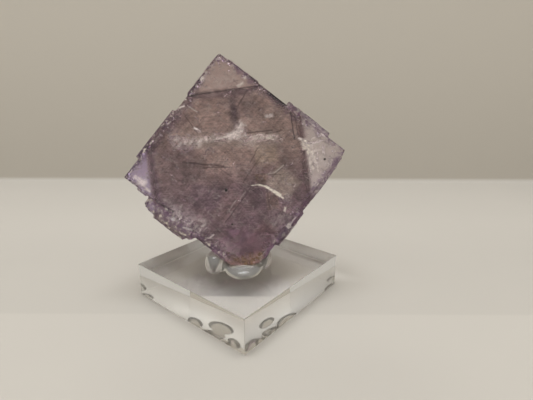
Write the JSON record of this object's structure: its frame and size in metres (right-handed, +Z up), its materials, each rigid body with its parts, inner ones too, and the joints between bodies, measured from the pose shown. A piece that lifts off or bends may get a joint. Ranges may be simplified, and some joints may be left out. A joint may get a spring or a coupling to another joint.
{
  "type": "fluorite specimen on a clear base",
  "caption": "Purple-brown fluorite cube crystal standing on one corner, held by clear putty on a square clear acrylic base.",
  "frame": {"origin": "middle of the acrylic base's underside", "axes": "+Z up; the crystal's broad front face looks along -Y, leaning back 18 degrees; +X to the viewer's right"},
  "size_m": [0.0742, 0.0712, 0.0826],
  "materials": {
    "fluorite": "see-through, brownish mauve, glossy growth faces with broken and stepped edges",
    "clear_putty": "clear, soft and glossy",
    "clear_acrylic": "clear, polished on every side"
  },
  "bodies": {
    "root": {"fluorite_crystal": "fluorite", "putty": "clear_putty", "acrylic_base": "clear_acrylic"}
  },
  "joints": []
}
